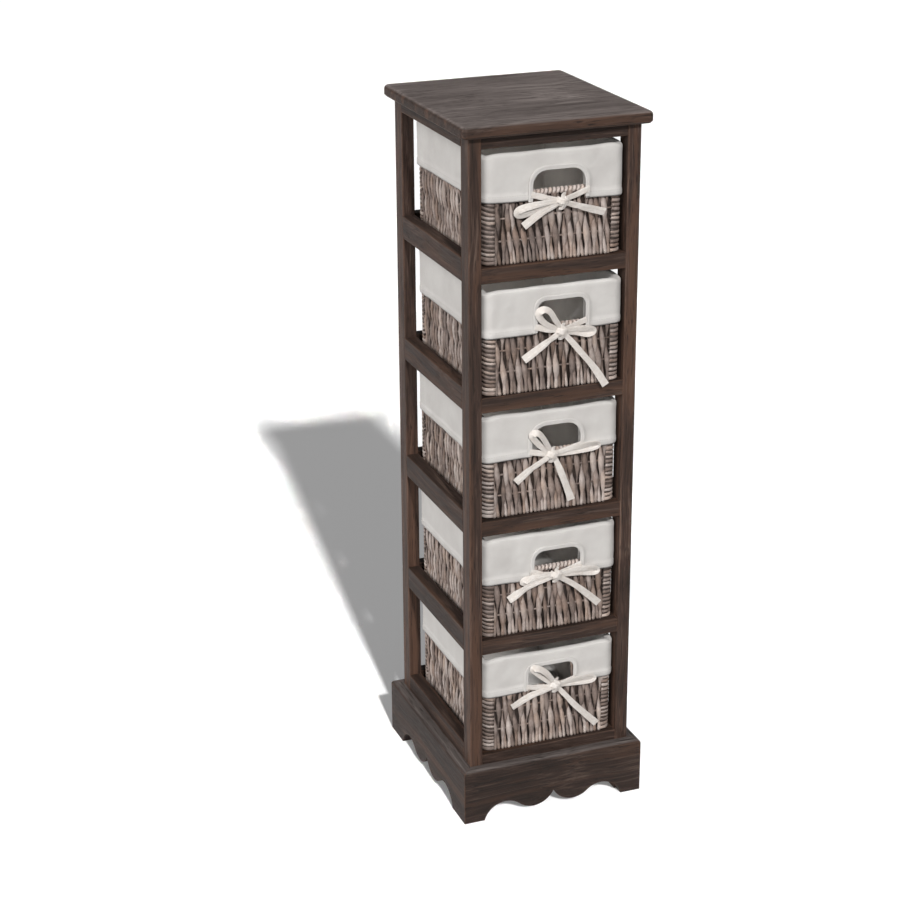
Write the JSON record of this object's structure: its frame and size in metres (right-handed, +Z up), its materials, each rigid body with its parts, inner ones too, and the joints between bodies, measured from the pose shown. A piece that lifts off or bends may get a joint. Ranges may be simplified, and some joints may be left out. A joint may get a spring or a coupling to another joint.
{
  "type": "basket shelf",
  "caption": "Narrow free-standing wooden rack with open sides, a scalloped plinth and pull-out woven baskets, each with a cloth liner folded over its rim and a tied bow",
  "frame": {"origin": "on the floor, under the middle of the rack", "axes": "+X right, +Y back, +Z up; the baskets face -Y"},
  "size_m": [0.268, 0.304, 0.98],
  "materials": {
    "stained_wood": "dark stained, brushed grain",
    "woven_husk": "matte woven husk strands",
    "liner_cloth": "plain-weave cotton",
    "cotton_tape": "folded cotton tape"
  },
  "bodies": {
    "frame": {"top_panel": "stained_wood", "post_front_left": "stained_wood", "post_front_right": "stained_wood", "post_back_left": "stained_wood", "post_back_right": "stained_wood", "front_rail_1": "stained_wood", "front_rail_2": "stained_wood", "front_rail_3": "stained_wood", "front_rail_4": "stained_wood", "front_rail_5": "stained_wood", "front_rail_top": "stained_wood", "back_rail_1": "stained_wood", "back_rail_2": "stained_wood", "back_rail_3": "stained_wood", "back_rail_4": "stained_wood", "back_rail_5": "stained_wood", "back_rail_top": "stained_wood", "left_rail_1": "stained_wood", "left_rail_2": "stained_wood", "left_rail_3": "stained_wood", "left_rail_4": "stained_wood", "left_rail_5": "stained_wood", "left_rail_top": "stained_wood", "right_rail_1": "stained_wood", "right_rail_2": "stained_wood", "right_rail_3": "stained_wood", "right_rail_4": "stained_wood", "right_rail_5": "stained_wood", "right_rail_top": "stained_wood", "shelf_1": "stained_wood", "shelf_2": "stained_wood", "shelf_3": "stained_wood", "shelf_4": "stained_wood", "shelf_5": "stained_wood", "plinth_front": "stained_wood", "plinth_back": "stained_wood", "plinth_left": "stained_wood", "plinth_right": "stained_wood"},
    "basket_1": {"basket_1_weave": "woven_husk", "basket_1_liner": "liner_cloth", "basket_1_bow": "cotton_tape"},
    "basket_2": {"basket_2_weave": "woven_husk", "basket_2_liner": "liner_cloth", "basket_2_bow": "cotton_tape"},
    "basket_3": {"basket_3_weave": "woven_husk", "basket_3_liner": "liner_cloth", "basket_3_bow": "cotton_tape"},
    "basket_4": {"basket_4_weave": "woven_husk", "basket_4_liner": "liner_cloth", "basket_4_bow": "cotton_tape"},
    "basket_5": {"basket_5_weave": "woven_husk", "basket_5_liner": "liner_cloth", "basket_5_bow": "cotton_tape"}
  },
  "joints": [
    {"name": "basket_1_slide", "type": "slide", "parent": "frame", "child": "basket_1", "axis": [0, -1, 0], "range_m": [0, 0.26]},
    {"name": "basket_2_slide", "type": "slide", "parent": "frame", "child": "basket_2", "axis": [0, -1, 0], "range_m": [0, 0.26]},
    {"name": "basket_3_slide", "type": "slide", "parent": "frame", "child": "basket_3", "axis": [0, -1, 0], "range_m": [0, 0.26]},
    {"name": "basket_4_slide", "type": "slide", "parent": "frame", "child": "basket_4", "axis": [0, -1, 0], "range_m": [0, 0.26]},
    {"name": "basket_5_slide", "type": "slide", "parent": "frame", "child": "basket_5", "axis": [0, -1, 0], "range_m": [0, 0.26]}
  ]
}
